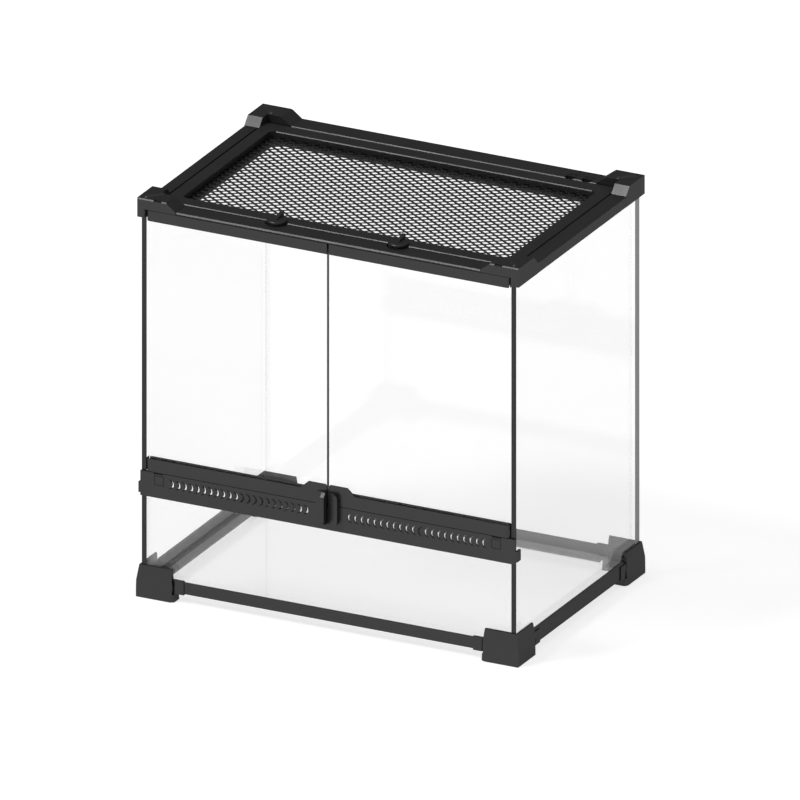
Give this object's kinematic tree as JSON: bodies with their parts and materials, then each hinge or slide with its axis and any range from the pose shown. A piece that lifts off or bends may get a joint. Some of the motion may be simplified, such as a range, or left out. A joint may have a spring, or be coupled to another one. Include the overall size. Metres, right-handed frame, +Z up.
{
  "type": "reptile terrarium",
  "caption": "Small glass terrarium with two hinged front doors over a slotted vent strip, a lift-up mesh lid with turn latches and sliding cable port covers.",
  "frame": {"origin": "on the ground midway between the four feet, which is the middle of the overall box to within 2.3 mm: the door's finger fin stands 4.3 mm in front of the feet", "axes": "+X to the right seen from the front, +Y from the front doors to the back glass, +Z up"},
  "size_m": [0.3, 0.2042, 0.3012],
  "materials": {
    "frame_plastic": "satin moulded black",
    "trim_plastic": "satin moulded black",
    "edge_black": "extruded black strip",
    "tank_glass": "clear float glass with ground edges",
    "seal": "translucent silicone",
    "mesh_metal": "black coated expanded metal",
    "pin_steel": "drawn wire"
  },
  "bodies": {
    "tank": {"foot_front_left": "trim_plastic", "foot_front_right": "trim_plastic", "foot_rear_left": "trim_plastic", "foot_rear_right": "trim_plastic", "base_rail_front": "frame_plastic", "base_rail_rear": "frame_plastic", "base_rail_left": "frame_plastic", "base_rail_right": "frame_plastic", "bottom_glass": "tank_glass", "back_glass": "tank_glass", "left_glass": "tank_glass", "right_glass": "tank_glass", "front_glass": "tank_glass", "edge_strip_left": "edge_black", "edge_strip_right": "edge_black", "corner_seals": "seal", "vent_strip": "trim_plastic", "corner_front_left": "trim_plastic", "corner_front_right": "trim_plastic", "corner_rear_left": "trim_plastic", "corner_rear_right": "trim_plastic", "top_rail_front": "frame_plastic", "top_rail_rear": "frame_plastic", "top_rail_left": "frame_plastic", "top_rail_right": "frame_plastic", "hinge_pins_left": "pin_steel", "hinge_pins_right": "pin_steel"},
    "left_door": {"door_glass_left": "tank_glass", "door_top_trim_left": "trim_plastic", "door_bottom_trim_left": "trim_plastic", "door_handle_left": "trim_plastic"},
    "right_door": {"door_glass_right": "tank_glass", "door_top_trim_right": "trim_plastic", "door_bottom_trim_right": "trim_plastic", "door_handle_right": "trim_plastic"},
    "lid": {"lid_frame": "frame_plastic", "lid_mesh": "mesh_metal", "lid_pivots": "pin_steel"},
    "left_latch": {"latch_left": "frame_plastic", "latch_clip_left": "pin_steel"},
    "right_latch": {"latch_right": "frame_plastic", "latch_clip_right": "pin_steel"},
    "left_port_cover": {"port_cover_left": "frame_plastic"},
    "right_port_cover": {"port_cover_right": "frame_plastic"}
  },
  "joints": [
    {"name": "left_door_swing", "type": "hinge", "parent": "tank", "child": "left_door", "pos_m": [-0.1392, -0.0954, 0.19], "axis": [0, 0, -1], "range_deg": [0, 105]},
    {"name": "right_door_swing", "type": "hinge", "parent": "tank", "child": "right_door", "pos_m": [0.1392, -0.0954, 0.19], "axis": [0, 0, 1], "range_deg": [0, 105]},
    {"name": "lid_lift", "type": "hinge", "parent": "tank", "child": "lid", "pos_m": [0, 0.079, 0.2914], "axis": [-1, 0, 0], "range_deg": [0, 80]},
    {"name": "left_latch_turn", "type": "hinge", "parent": "lid", "child": "left_latch", "pos_m": [-0.0475, -0.0828, 0.295], "axis": [0, 0, 1], "range_deg": [0, 90]},
    {"name": "right_latch_turn", "type": "hinge", "parent": "lid", "child": "right_latch", "pos_m": [0.0475, -0.0828, 0.295], "axis": [0, 0, -1], "range_deg": [0, 90]},
    {"name": "left_port_slide", "type": "slide", "parent": "tank", "child": "left_port_cover", "axis": [0, -1, 0], "range_m": [0, 0.0039]},
    {"name": "right_port_slide", "type": "slide", "parent": "tank", "child": "right_port_cover", "axis": [0, -1, 0], "range_m": [0, 0.0039]}
  ]
}
